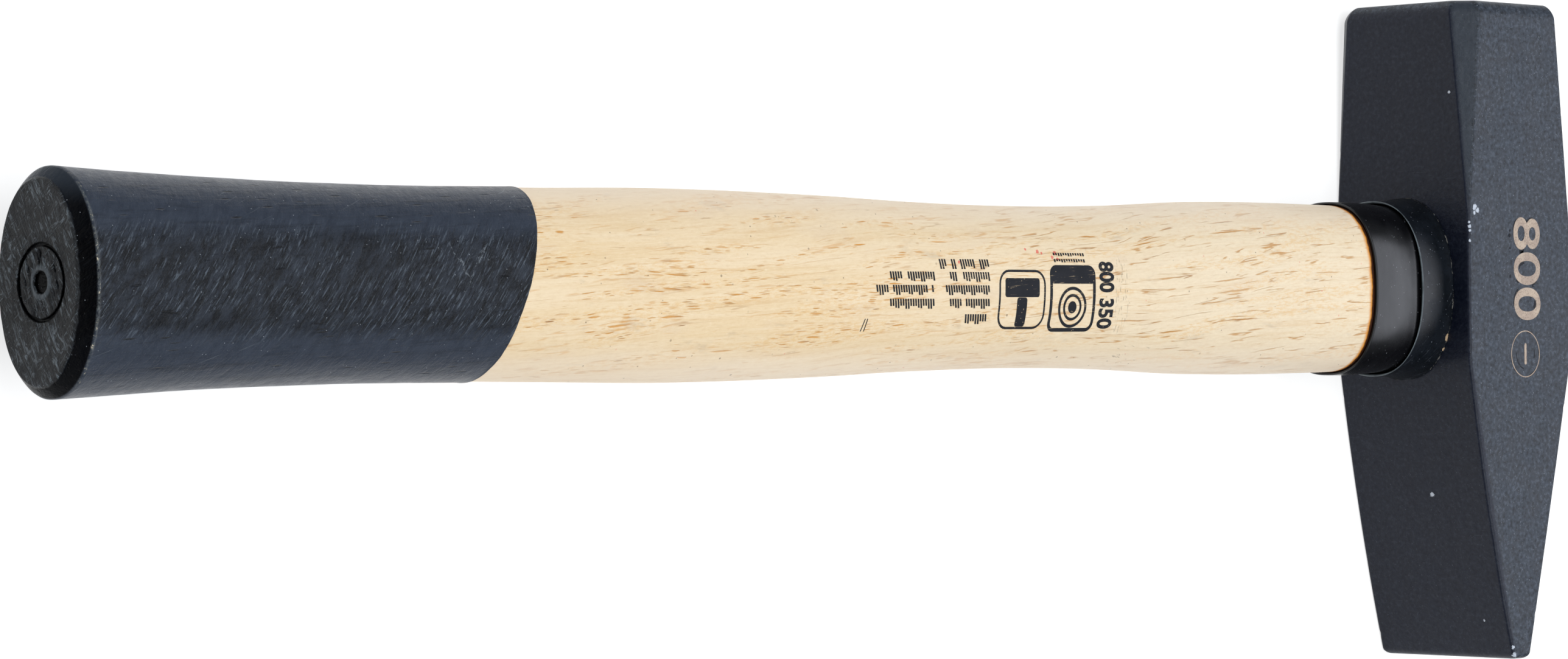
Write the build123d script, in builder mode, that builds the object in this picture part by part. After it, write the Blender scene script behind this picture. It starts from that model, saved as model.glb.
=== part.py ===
"""Cross peen hammer of the 800 g class, as the separate pieces it is put together from.

Millimetres. The hammer lies on one cheek of its head, with the origin on that cheek's plane, under the
middle of the whole tool. +X runs from the butt of the handle to the head, +Y to the striking face and
+Z up.
"""

import os
from math import cos, pi, sin

from build123d import *

os.makedirs("parts", exist_ok=True)

# Whole tool
total_length = 360.0
head_length = 130.0
head_width = 33.0  # square section: the eye's length and the distance between the cheeks are equal
butt_x = -total_length / 2
top_x = total_length / 2
seat_x = top_x - head_width  # side of the head that the handle enters
face_y = head_length / 2
nose_y = -head_length / 2

# Handle axis
axis_y = 8.4
axis_z = head_width / 2

# Peen: a wedge across the handle, bulged a little on both sides
peen_start_y = -5.6
nose_near_x = seat_x + 13.1
nose_far_x = seat_x + 18.3
near_bulge = 1.0
far_bulge = 0.25
peen_start_radius = 25.0
nose_radius = 1.2

# Striking end: four corners planed off, deepest at the face, and a bevelled rim
corner_leg = 4.5
corner_start_y = 18.4
rim_bevel = 1.8
rim_radius = 0.8
edge_radius = 0.6

# Eye, narrowest in the middle: X, half height along Y, half width along Z
eye_power = 2.2
eye_sections = [
    (seat_x, 14.0, 9.0),
    (seat_x + 15.0, 13.4, 8.6),
    (top_x, 15.0, 10.0),
]
tenon_end_x = top_x - 0.3

# Handle outside, over the lacquer at the butt: X, half height, half width, roundness power
coat = 0.25  # thickness of the lacquer
butt_bevel = 2.0
butt_flat_y = 15.5
butt_flat_z = 10.15
butt_power = 2.15
grip_sections = [
    (butt_x + butt_bevel, 17.65, 12.35, butt_power),
    (-164.0, 16.98, 11.95, 2.15),
    (-140.0, 16.18, 11.60, 2.15),
    (-112.0, 15.88, 11.45, 2.15),
    (-84.0, 16.20, 11.50, 2.15),
    (-55.0, 16.64, 11.55, 2.15),
]
bare_sections = [
    (-20.0, 15.88, 11.15, 2.20),
    (8.0, 14.98, 10.70, 2.20),
    (32.0, 14.68, 10.60, 2.20),
    (56.0, 15.10, 11.00, 2.25),
    (78.0, 16.12, 11.65, 2.32),
    (98.0, 16.42, 12.00, 2.40),
    (123.0, 16.20, 12.00, 2.44),
    (137.0, 15.95, 11.50, 2.44),
    (seat_x, 15.80, 11.25, 2.44),
]

# Lacquer edge: a plane that leans towards the striking face side
lacquer_edge_x = -92.5
lacquer_edge_slope = 0.318

# Lathe marks in the butt end: the lacquer fills the ring groove almost to the top
ring_mark_radius = 5.9
ring_mark_width = 0.5
ring_mark_depth = 0.15
centre_hole_radius = 1.65
centre_hole_depth = 4.0

# Protective sleeve round the neck: X, half height, half width
sleeve_power = 2.44
sleeve_sections = [
    (123.0, 16.90, 12.70),
    (137.0, 16.65, 12.15),
    (seat_x, 16.50, 11.90),
]

# Flared collar between the sleeve and the head: X, half height, half width
collar_power = 2.25
collar_rim_x = 137.2
collar_sections = [
    (collar_rim_x, 17.25, 12.80),
    (140.5, 17.25, 12.75),
    (143.8, 17.45, 12.85),
    (145.8, 17.80, 13.05),
    (seat_x, 18.20, 13.35),
]
rim_bore_y = 16.80  # the collar's bore stands off the sleeve at the rim and meets it at the foot
rim_bore_z = 12.30
sleeve_foot_y = sleeve_sections[-1][1]
sleeve_foot_z = sleeve_sections[-1][2]

# Wedges in the eye
wedge_tip_x = top_x - 25.0
wedge_tip_half = 0.6
wedge_top_half = 2.6
ring_wedge_depth = 15.0
ring_wedge_recess = 0.3  # flush with the end of the tenon
ring_wedge_outer = 7.4
ring_wedge_top_wall = 2.0
ring_wedge_edge_wall = 0.7


def oval_section(x, half_y, half_z, power, points=24):
    """A closed superellipse across the handle axis at x."""
    across = Plane(origin=(x, axis_y, axis_z), x_dir=(0, 1, 0), z_dir=(1, 0, 0))
    outline = []
    for step in range(points):
        angle = 2 * pi * step / points
        reach = (abs(cos(angle)) ** power + abs(sin(angle)) ** power) ** (1 / power)
        outline.append((half_y * cos(angle) / reach, half_z * sin(angle) / reach))
    with BuildSketch(across) as section:
        with BuildLine():
            Spline(*outline, periodic=True)
        make_face()
    return section.sketch


# Space in the eye, which the tenon and its wedges fill
with BuildPart() as eye:
    loft(sections=[oval_section(*section, eye_power) for section in eye_sections])

# Steel ring wedge: a short tube, thinner at the edge that is driven in
with BuildPart() as ring_wedge:
    ring_top_x = top_x - ring_wedge_recess
    ring_low_x = ring_top_x - ring_wedge_depth
    with BuildSketch(Plane.XY.offset(axis_z)):
        with BuildLine():
            Polyline(
                (ring_low_x, axis_y + ring_wedge_outer),
                (ring_top_x, axis_y + ring_wedge_outer),
                (ring_top_x, axis_y + ring_wedge_outer - ring_wedge_top_wall),
                (ring_low_x, axis_y + ring_wedge_outer - ring_wedge_edge_wall),
                close=True,
            )
        make_face()
    revolve(axis=Axis((0, axis_y, axis_z), (1, 0, 0)))

# Wooden wedge: spreads the tenon towards both cheeks, and the ring wedge crosses it
with BuildPart() as wooden_wedge:
    with BuildSketch(Plane.XZ):
        with BuildLine():
            Polyline(
                (wedge_tip_x, axis_z - wedge_tip_half),
                (tenon_end_x, axis_z - wedge_top_half),
                (tenon_end_x, axis_z + wedge_top_half),
                (wedge_tip_x, axis_z + wedge_tip_half),
                close=True,
            )
        make_face()
    extrude(amount=head_length, both=True)
    add(eye.part, mode=Mode.INTERSECT)
    add(ring_wedge.part, mode=Mode.SUBTRACT)

# Head: forged in one piece, with the eye through it
with BuildPart() as head:
    with BuildSketch(Plane.XY):
        with BuildLine():
            Line((seat_x, face_y), (seat_x, peen_start_y))
            SagittaArc((seat_x, peen_start_y), (nose_near_x, nose_y), -near_bulge)
            Line((nose_near_x, nose_y), (nose_far_x, nose_y))
            SagittaArc((nose_far_x, nose_y), (top_x, peen_start_y), -far_bulge)
            Line((top_x, peen_start_y), (top_x, face_y))
            Line((top_x, face_y), (seat_x, face_y))
        make_face()
    extrude(amount=head_width)
    upright = head.edges().filter_by(Axis.Z)
    peen_start_edges = upright.filter_by_position(Axis.Y, peen_start_y - 1, peen_start_y + 1)
    fillet(peen_start_edges, peen_start_radius)
    nose_edges = head.edges().filter_by(Axis.Z).group_by(Axis.Y)[0]
    fillet(nose_edges, nose_radius)

    corner_run = face_y - corner_start_y
    for side_x, edge_x in ((-1, seat_x), (1, top_x)):
        for side_z, edge_z in ((-1, 0.0), (1, head_width)):
            corner_plane = Plane(
                origin=(edge_x, corner_start_y, edge_z),
                z_dir=(side_x * corner_run, corner_leg, side_z * corner_run),
            )
            split(bisect_by=corner_plane, keep=Keep.BOTTOM)

    chamfer(head.faces().sort_by(Axis.Y)[-1].edges(), rim_bevel)
    fillet(head.faces().sort_by(Axis.Y)[-1].edges(), rim_radius)
    long_edges = head.edges().filter_by_position(Axis.Y, nose_y, face_y - rim_bevel - 0.5)
    fillet(long_edges, edge_radius)

    add(eye.part, mode=Mode.SUBTRACT)

# Lathe marks: what the ring groove and the centre hole take out of the butt
with BuildPart() as butt_marks:
    with BuildSketch(Plane(origin=(butt_x, axis_y, axis_z), x_dir=(0, 1, 0), z_dir=(1, 0, 0))) as ring_mark:
        Circle(ring_mark_radius + ring_mark_width / 2)
        Circle(ring_mark_radius - ring_mark_width / 2, mode=Mode.SUBTRACT)
    extrude(amount=ring_mark_depth)
    with BuildSketch(ring_mark.workplanes[0]):
        Circle(centre_hole_radius)
    extrude(amount=centre_hole_depth)

# Handle: wood, from the butt to the end of the tenon in the eye
with BuildPart() as handle:
    grip_wood = [(x, half_y - coat, half_z - coat, power) for x, half_y, half_z, power in grip_sections]
    rim = oval_section(*grip_wood[0])
    butt = oval_section(butt_x + coat, butt_flat_y, butt_flat_z, butt_power)
    loft(sections=[butt, rim], ruled=True)
    loft(sections=[oval_section(*section) for section in grip_wood + bare_sections])
    add(eye.part)
    split(bisect_by=Plane(origin=(tenon_end_x, 0, 0), z_dir=(1, 0, 0)), keep=Keep.BOTTOM)
    add(wooden_wedge.part, mode=Mode.SUBTRACT)
    add(ring_wedge.part, mode=Mode.SUBTRACT)
    add(butt_marks.part, mode=Mode.SUBTRACT)

# Lacquer on the grip: a skin round the wood and over the butt, cut at its slanted edge
with BuildPart() as grip_coating:
    rim = oval_section(*grip_sections[0])
    butt = oval_section(butt_x, butt_flat_y, butt_flat_z, butt_power)
    loft(sections=[butt, rim], ruled=True)
    beyond = [(x, half_y + coat, half_z + coat, power) for x, half_y, half_z, power in bare_sections]
    loft(sections=[oval_section(*section) for section in grip_sections + beyond])
    lacquer_edge = Plane(origin=(lacquer_edge_x, axis_y, 0), z_dir=(1, -lacquer_edge_slope, 0))
    split(bisect_by=lacquer_edge, keep=Keep.BOTTOM)
    add(handle.part, mode=Mode.SUBTRACT)
    add(butt_marks.part, mode=Mode.SUBTRACT)

# Sleeve: a tube on the neck of the handle, tapering towards the head
with BuildPart() as sleeve:
    loft(sections=[oval_section(*section, sleeve_power) for section in sleeve_sections])
    add(handle.part, mode=Mode.SUBTRACT)

# Collar: grips the foot of the sleeve, stands off it at the rim and flares against the head
with BuildPart() as collar:
    loft(sections=[oval_section(*section, collar_power) for section in collar_sections])
    bore_sections = [
        oval_section(collar_rim_x, rim_bore_y, rim_bore_z, sleeve_power),
        oval_section(seat_x, sleeve_foot_y, sleeve_foot_z, sleeve_power),
    ]
    loft(sections=bore_sections, ruled=True, mode=Mode.SUBTRACT)

pieces = {
    "head": head,
    "handle": handle,
    "grip_coating": grip_coating,
    "sleeve": sleeve,
    "collar": collar,
    "wooden_wedge": wooden_wedge,
    "ring_wedge": ring_wedge,
}
for name, piece in pieces.items():
    piece.part.label = name
    export_step(piece.part, f"parts/{name}.step")
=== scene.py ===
"""Cross peen hammer lying on its cheek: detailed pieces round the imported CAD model.

Shapes are worked out in millimetres in the model's own frame, +X from the butt to the head, +Y to the
striking face and +Z up, and turned into metres when a mesh is made.
"""

from math import cos, pi, radians, sin, tan

import bmesh
import bpy
import numpy as np
from mathutils import Euler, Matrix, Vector, noise


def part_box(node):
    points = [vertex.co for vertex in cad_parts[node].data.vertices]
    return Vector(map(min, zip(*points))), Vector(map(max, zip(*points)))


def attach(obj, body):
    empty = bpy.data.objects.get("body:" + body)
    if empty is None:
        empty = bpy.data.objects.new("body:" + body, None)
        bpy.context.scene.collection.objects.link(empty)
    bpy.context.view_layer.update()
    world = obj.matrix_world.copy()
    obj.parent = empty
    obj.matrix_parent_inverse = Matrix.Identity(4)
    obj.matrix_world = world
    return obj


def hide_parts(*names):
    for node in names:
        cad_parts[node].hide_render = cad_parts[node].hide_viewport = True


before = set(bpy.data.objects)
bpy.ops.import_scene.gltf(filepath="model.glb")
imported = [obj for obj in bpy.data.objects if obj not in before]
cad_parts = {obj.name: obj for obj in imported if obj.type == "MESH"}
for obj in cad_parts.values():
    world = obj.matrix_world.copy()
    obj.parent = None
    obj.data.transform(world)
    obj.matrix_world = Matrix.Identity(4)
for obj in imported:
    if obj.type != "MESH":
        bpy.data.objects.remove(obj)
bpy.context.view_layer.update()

MM = 0.001
ROOT = "root"
SLIVER = 1e-5  # edges shorter than this, in metres, are merged after a cut

# ---------------------------------------------------------------- sizes, in millimetres

def in_mm(box):
    """The low and the high corner of a box, as plain numbers."""
    return [[c / MM for c in corner] for corner in box]


(seat_x, nose_y, bottom_z), (top_x, face_y, cheek_z) = in_mm(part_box("head"))
_, (handle_end_x, _, _) = in_mm(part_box("handle"))
(butt_x, _, _), _ = in_mm(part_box("grip_coating"))
(sleeve_x, _, _), _ = in_mm(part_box("sleeve"))
(collar_x, collar_low_y, _), (_, collar_high_y, _) = in_mm(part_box("collar"))
axis_y = (collar_low_y + collar_high_y) / 2
axis_z = (bottom_z + cheek_z) / 2
TENON_DROP = 0.65  # the wedges stand this much proud of the wood round them
tenon_end_x = handle_end_x - TENON_DROP

# Handle outside: X, half height, half width, roundness power. The first six lie under the lacquer.
COAT = 0.25
GRIP = [
    (-178.0, 17.65, 12.35, 2.15),
    (-164.0, 16.98, 11.95, 2.15),
    (-140.0, 16.18, 11.60, 2.15),
    (-112.0, 15.88, 11.45, 2.15),
    (-84.0, 16.20, 11.50, 2.15),
    (-55.0, 16.64, 11.55, 2.15),
]
BARE = [
    (-20.0, 15.88, 11.15, 2.20),
    (8.0, 14.98, 10.70, 2.20),
    (32.0, 14.68, 10.60, 2.20),
    (56.0, 15.10, 11.00, 2.25),
    (78.0, 16.12, 11.65, 2.32),
    (98.0, 16.42, 12.00, 2.40),
    (123.0, 16.20, 12.00, 2.44),
    (137.0, 15.95, 11.50, 2.44),
    (147.0, 15.80, 11.25, 2.44),
]
EYE = [(147.0, 14.0, 9.0, 2.2), (162.0, 13.4, 8.6, 2.2), (180.0, 15.0, 10.0, 2.2)]
SLEEVE = [
    (123.0, 16.85, 12.66, 2.44),
    (126.5, 16.90, 12.70, 2.44),
    (130.0, 16.82, 12.62, 2.44),
    (133.5, 16.66, 12.36, 2.44),
    (137.0, 16.45, 11.98, 2.44),
    (147.0, 16.40, 11.80, 2.44),
]
SLEEVE_WALL = 0.62
WEDGE_TIP_HALF = 0.6
COLLAR = [
    (137.2, 17.25, 12.75, 2.25),
    (140.5, 17.25, 12.60, 2.25),
    (143.8, 17.45, 12.55, 2.25),
    (145.8, 17.75, 12.60, 2.25),
    (147.0, 18.10, 12.75, 2.25),
]
COLLAR_BORE = [(137.2, 16.80, 12.30, 2.44), (147.0, 16.52, 11.92, 2.44)]

# Butt end and lacquer edge
FLAT_Y, FLAT_Z = 15.5, 9.85
FLAT_DROP = 0.85  # the flat of the butt sits this much low in its bevel
BUTT_POWER = GRIP[0][3]
RING_MARK_RADIUS = 5.75
CENTRE_HOLE_RADIUS = 1.65
LACQUER_EDGE_X = -92.5
LACQUER_EDGE_SLOPE = 0.318

# Head
PEEN_START_Y = -5.6
NOSE_NEAR, NOSE_FAR = 13.1, 14.7  # how far the nose lies in from the seat side and from the top side
NEAR_BULGE, FAR_BULGE = 1.0, 0.25
PEEN_SOFTNESS = 0.5
CORNER_LEG = 4.5
CORNER_START_Y = 18.4
LOW_CORNER_SHARE = 0.75  # the corner on the handle side of the lower cheek is planed off less
RIM_DEPTH, RIM_INSET = 3.0, 2.1  # the worn rim of the striking face, along and across the head
RIM_ROUNDNESS = 1.7
EDGE_RADIUS = 0.6
NOSE_RADIUS = 1.2


# ---------------------------------------------------------------- meshes

def profile(stations, x):
    """Half height, half width and power at each x, on smooth curves through the stations."""
    table = np.array(stations)
    known = table[:, 0]
    x = np.clip(np.atleast_1d(x).astype(float), known[0], known[-1])
    index = np.clip(np.searchsorted(known, x) - 1, 0, len(known) - 2)
    span = known[index + 1] - known[index]
    t = (x - known[index]) / span
    found = []
    for column in table[:, 1:].T:
        slope = np.gradient(column, known)
        found.append(
            column[index] * (2 * t**3 - 3 * t**2 + 1)
            + slope[index] * span * (t**3 - 2 * t**2 + t)
            + column[index + 1] * (3 * t**2 - 2 * t**3)
            + slope[index + 1] * span * (t**3 - t**2)
        )
    return found


def oval(half_y, half_z, power, angles):
    """Points of a superellipse, one row for each set of half sizes."""
    half_y, half_z, power = (np.atleast_1d(v)[:, None] for v in (half_y, half_z, power))
    reach = (np.abs(np.cos(angles)) ** power + np.abs(np.sin(angles)) ** power) ** (1 / power)
    return half_y * np.cos(angles) / reach, half_z * np.sin(angles) / reach


def ring_at(x, y, z):
    """The points of one ring, where x is one number or has a value for each point."""
    return np.stack(np.broadcast_arrays(x, y, z), axis=-1)


def oval_rings(stations, x, angles, grow=0.0):
    """Rings of points round the handle's axis at each x, offset outwards by grow."""
    half_y, half_z, power = profile(stations, x)
    y, z = oval(half_y + grow, half_z + grow, power, angles)
    return ring_at(np.atleast_1d(x)[:, None], axis_y + y, axis_z + z)


def away_from_axis(rings):
    """Unit vectors straight away from the handle's axis, at points that may lie on it."""
    outward = rings - np.array([0.0, axis_y, axis_z])
    outward[..., 0] = 0.0
    return outward / np.maximum(np.linalg.norm(outward, axis=-1, keepdims=True), 1e-6)


def turns(count):
    return np.linspace(0, 2 * pi, count, endpoint=False)


def ring_faces(rings, around, closed=False):
    """Quads between neighbouring rings, and from the last to the first if closed."""
    faces = []
    for ring in range(rings if closed else rings - 1):
        low = ring * around
        high = (ring + 1) % rings * around
        for k in range(around):
            after = (k + 1) % around
            faces.append((low + k, low + after, high + after, high + k))
    return faces


def ring_mesh(name, rings, closed=False):
    """A mesh through rings of points. An open stack of rings is capped with a fan at both ends."""
    count, around, _ = rings.shape
    points = rings.reshape(-1, 3)
    faces = ring_faces(count, around, closed)
    if not closed:
        points = np.vstack([points, rings[0].mean(axis=0), rings[-1].mean(axis=0)])
        last = (count - 1) * around
        for k in range(around):
            after = (k + 1) % around
            faces.append((after, k, count * around))
            faces.append((last + k, last + after, count * around + 1))
    return mesh_from(name, points, faces)


def mesh_from(name, points, faces):
    mesh = bpy.data.meshes.new(name)
    mesh.from_pydata((np.asarray(points) * MM).tolist(), [], faces)
    shape = bmesh.new()
    shape.from_mesh(mesh)
    bmesh.ops.recalc_face_normals(shape, faces=shape.faces)
    shape.to_mesh(mesh)
    shape.free()
    mesh.polygons.foreach_set("use_smooth", [True] * len(mesh.polygons))
    return mesh


def in_scene(name, data):
    """An object in the scene that holds a mesh, a lamp, a camera or a text."""
    made = bpy.data.objects.new(name, data)
    bpy.context.scene.collection.objects.link(made)
    return made


def add_piece(name, mesh, materials, slot, *nodes):
    """Links a mesh as a piece that rides on the hammer and stands for these CAD nodes."""
    piece = in_scene(name, mesh)
    for material in materials:
        mesh.materials.append(material)
    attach(piece, ROOT)
    if nodes:
        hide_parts(*nodes)
    return piece


def apply_modifiers(piece):
    """Replaces a piece's mesh by what its modifiers make of it."""
    graph = bpy.context.evaluated_depsgraph_get()
    made = bpy.data.meshes.new_from_object(piece.evaluated_get(graph))
    piece.modifiers.clear()
    piece.data = made


def cut(piece, *tools):
    """Cuts the tools' shapes out of a piece."""
    for tool in tools:
        step = piece.modifiers.new("cut", "BOOLEAN")
        step.operation = "DIFFERENCE"
        step.solver = "EXACT"
        step.object = tool
    apply_modifiers(piece)
    shape = bmesh.new()
    shape.from_mesh(piece.data)
    bmesh.ops.dissolve_degenerate(shape, edges=shape.edges, dist=SLIVER)
    bmesh.ops.remove_doubles(shape, verts=shape.verts, dist=SLIVER)
    bmesh.ops.triangulate(shape, faces=[face for face in shape.faces if len(face.verts) > 4])
    on_corners = {}
    for face in shape.faces:
        on_corners.setdefault(frozenset(face.verts), []).append(face)
    doubled = [face for faces in on_corners.values() if len(faces) > 1 for face in faces]
    bmesh.ops.delete(shape, geom=doubled, context="FACES")
    shape.to_mesh(piece.data)
    shape.free()


def rough(points, size, depth=2, seed=0.0):
    """Smooth noise from about -1 to 1 at each point, with features about size millimetres across."""
    shift = Vector((seed * 17.3, seed * 5.1, seed * 9.7))
    flat = points.reshape(-1, 3) / size
    values = [noise.fractal(Vector(p) + shift, 1.0, 2.0, depth) for p in flat]
    return np.array(values).reshape(points.shape[:-1])


# ---------------------------------------------------------------- materials

# Places of small marks: X, Y and radius on the upper side of the handle
RED_SPECKS = [
    (29.7, 14.6, 0.4), (30.7, 14.3, 0.25), (26.6, 15.0, 0.25), (34.2, 14.4, 0.4), (33.3, 13.6, 0.35),
    (34.6, 13.3, 0.3), (8.7, 12.6, 0.3), (7.6, 11.6, 0.2),
]
# Chips in the head's black skin: X, Y, Z and radius
HEAD_CHIPS = [
    (149.0, 24.2, 33.0, 0.62), (149.9, 23.6, 33.0, 0.5), (148.9, 23.1, 33.0, 0.35), (147.4, 17.6, 33.0, 0.28),
    (147.5, 19.6, 32.9, 0.3), (147.4, 20.4, 32.9, 0.36), (147.4, 21.2, 32.8, 0.26), (147.0, 46.9, 28.5, 0.3),
    (151.9, -32.4, 19.4, 0.5),
    (157.8, -57.4, 27.3, 0.3), (147.3, 41.0, 33.0, 0.3), (147.4, 52.0, 32.6, 0.25), (160.3, -64.3, 33.0, 0.6),
    (159.9, -62.6, 33.0, 0.4),
]


def linear(red, green, blue):
    """A colour for a shader from screen values of 0 to 255."""
    parts = [c / 255 for c in (red, green, blue)]
    return tuple(c / 12.92 if c <= 0.04045 else ((c + 0.055) / 1.055) ** 2.4 for c in parts) + (1.0,)


STILL = (0.0, 0.0, 0.0)  # no turn, or no shift
HANDLE_RADIUS = 14.0  # a mean radius, on which patterns are unrolled from round the handle


class Field:
    """A number that varies over a surface: one output of a shader node, with arithmetic."""

    def __init__(self, paint, socket):
        self.paint, self.socket = paint, socket

    def __add__(self, other):
        return self.paint.maths("ADD", self, other)

    def __sub__(self, other):
        return self.paint.maths("SUBTRACT", self, other)

    def __rsub__(self, other):
        return self.paint.maths("SUBTRACT", other, self)

    def __mul__(self, other):
        return self.paint.maths("MULTIPLY", self, other)

    def __truediv__(self, other):
        return self.paint.maths("DIVIDE", self, other)

    def __abs__(self):
        return self.paint.maths("ABSOLUTE", self)

    def step(self, low, high, start=0.0, end=1.0):
        """A smooth change from start, where the number is low, to end, where it is high."""
        inputs = {"Value": self, "From Min": low, "From Max": high, "To Min": start, "To Max": end}
        return self.paint.field("MapRange", inputs, interpolation_type="SMOOTHSTEP")


class Paint:
    """One material, painted in coats over a ground. Sizes and places are in millimetres."""

    def __init__(self, name):
        self.material = bpy.data.materials.new(name)
        self.material.use_nodes = True
        self.tree = self.material.node_tree
        self.surface = self.tree.nodes["Principled BSDF"].inputs
        place = self.tree.nodes.new("ShaderNodeTexCoord").outputs["Object"]
        self.mm = self.vector("MULTIPLY", place, (1 / MM,) * 3)
        axes = self.node("SeparateXYZ", {0: self.mm})
        self.x, self.y, self.z = (Field(self, socket) for socket in axes.outputs)
        self.painted = None

    def put(self, value, target):
        """Links a field or a socket to a node's input, or sets a constant there."""
        value = getattr(value, "socket", value)
        if isinstance(value, bpy.types.NodeSocket):
            self.tree.links.new(value, target)
        else:
            target.default_value = value

    def node(self, kind, inputs, **settings):
        made = self.tree.nodes.new("ShaderNode" + kind)
        for key, value in settings.items():
            setattr(made, key, value)
        for key, value in inputs.items():
            self.put(value, made.inputs[key])
        return made

    def field(self, kind, inputs, output=0, **settings):
        return Field(self, self.node(kind, inputs, **settings).outputs[output])

    def maths(self, operation, *values):
        return self.field("Math", dict(enumerate(values)), operation=operation)

    def vector(self, operation, *values):
        return self.node("VectorMath", dict(enumerate(values)), operation=operation).outputs[0]

    def stretched(self, size, turn=STILL, move=STILL):
        """Coordinates in which one unit is size, which may differ along each turned axis."""
        turned = self.mm
        if any(turn):
            angles = tuple(radians(a) for a in turn)
            turned = self.node(
                "VectorRotate", {"Vector": turned, "Rotation": angles}, rotation_type="EULER_XYZ"
            ).outputs[0]
        scale = tuple(1 / s for s in np.broadcast_to(size, 3).tolist())
        return self.vector("ADD", self.vector("MULTIPLY", turned, scale), move)

    def unrolled(self, size, slope=0.0, move=STILL, warp=None):
        """Coordinates unrolled from the handle: along it, and round it, one unit for each size."""
        along, around = size
        turn = self.maths("ARCTAN2", self.y - axis_y, self.z - axis_z)
        arc = turn * HANDLE_RADIUS - self.x * slope
        if warp:
            arc = arc + warp
        flat = self.node("CombineXYZ", {"X": self.x / along, "Y": arc / around}).outputs[0]
        return self.vector("ADD", flat, move)

    def noise(self, at, detail=2.0, roughness=0.5, distortion=0.0):
        inputs = {"Vector": at, "Scale": 1.0, "Detail": detail, "Roughness": roughness}
        return self.field("TexNoise", inputs | {"Distortion": distortion}, "Fac")

    def grain(self, size, detail=2.0, roughness=0.5, turn=STILL, move=STILL, distortion=0.0):
        """Noise with features of about this size, which may differ along each turned axis."""
        return self.noise(self.stretched(size, turn, move), detail, roughness, distortion)

    def figure(self, size, slope, move, warp=None, detail=2.0, roughness=0.5):
        """Noise that follows the wood along and round the handle."""
        return self.noise(self.unrolled(size, slope, move, warp), detail, roughness)

    def cells(self, at, dimensions="3D"):
        """Scattered cells: the distance to the nearest one's middle, and its three random numbers."""
        cell = self.node("TexVoronoi", {"Vector": at, "Scale": 1.0}, voronoi_dimensions=dimensions)
        chosen = self.node("SeparateColor", {0: cell.outputs["Color"]})
        return [Field(self, socket) for socket in (cell.outputs["Distance"], *chosen.outputs)]

    def spots(self, size, share, seed=0.0):
        """Scattered spots up to about size across, where share of the cells holds one."""
        distance, chosen, _, _ = self.cells(self.stretched(size * 2.2, move=(seed, seed * 1.7, seed * 2.3)))
        return distance.step(0.29, 0.19) * chosen.step(share, share - 0.01)

    def blot(self, x, y, z, radius, ragged=0.5, grit=0.6):
        """A ragged spot of about this radius round one place on the surface."""
        away = self.field("VectorMath", {0: self.mm, 1: (x, y, z)}, "Value", operation="DISTANCE")
        edge = self.grain(grit, 4.0, 0.8, move=(x, y, z))
        return (away / radius + edge * (ragged * 2)).step(1.0 + ragged, 0.86 + ragged)

    def from_line(self, y, z):
        """Distance from the line along X through y and z."""
        aside = self.vector("ADD", self.mm, (0.0, -y, -z))
        flat = self.vector("MULTIPLY", aside, (0.0, 1.0, 1.0))
        return self.field("VectorMath", {0: flat}, "Value", operation="LENGTH")

    def either(self, first, *others):
        for other in others:
            first = self.maths("MAXIMUM", first, other)
        return first

    def blend(self, share, under, over):
        """Mixes two colours, each of which is a socket or screen values of 0 to 255."""
        under, over = (linear(*c) if isinstance(c, tuple) else c for c in (under, over))
        return self.node("Mix", {0: share, 6: under, 7: over}, data_type="RGBA").outputs[2]

    def ground(self, share, under, over):
        self.painted = self.blend(share, under, over)

    def coat(self, share, over):
        """Lays a colour over what is painted so far, where share is 1."""
        self.painted = self.blend(share, self.painted, over)

    def bumps(self, *layers):
        """Layers of (height, depth), which add up to one surface relief."""
        normal = None
        for height, depth in layers:
            made = self.node("Bump", {"Height": height, "Strength": 1.0, "Distance": depth * MM})
            if normal:
                self.put(normal, made.inputs["Normal"])
            normal = made.outputs[0]
        self.put(normal, self.surface["Normal"])

    def finish(self, specular, metallic=0.0):
        """Puts the coats on the surface and gives back the material."""
        self.put(self.painted, self.surface["Base Color"])
        self.put(specular, self.surface["Specular IOR Level"])
        self.put(metallic, self.surface["Metallic"])
        return self.material


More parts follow.
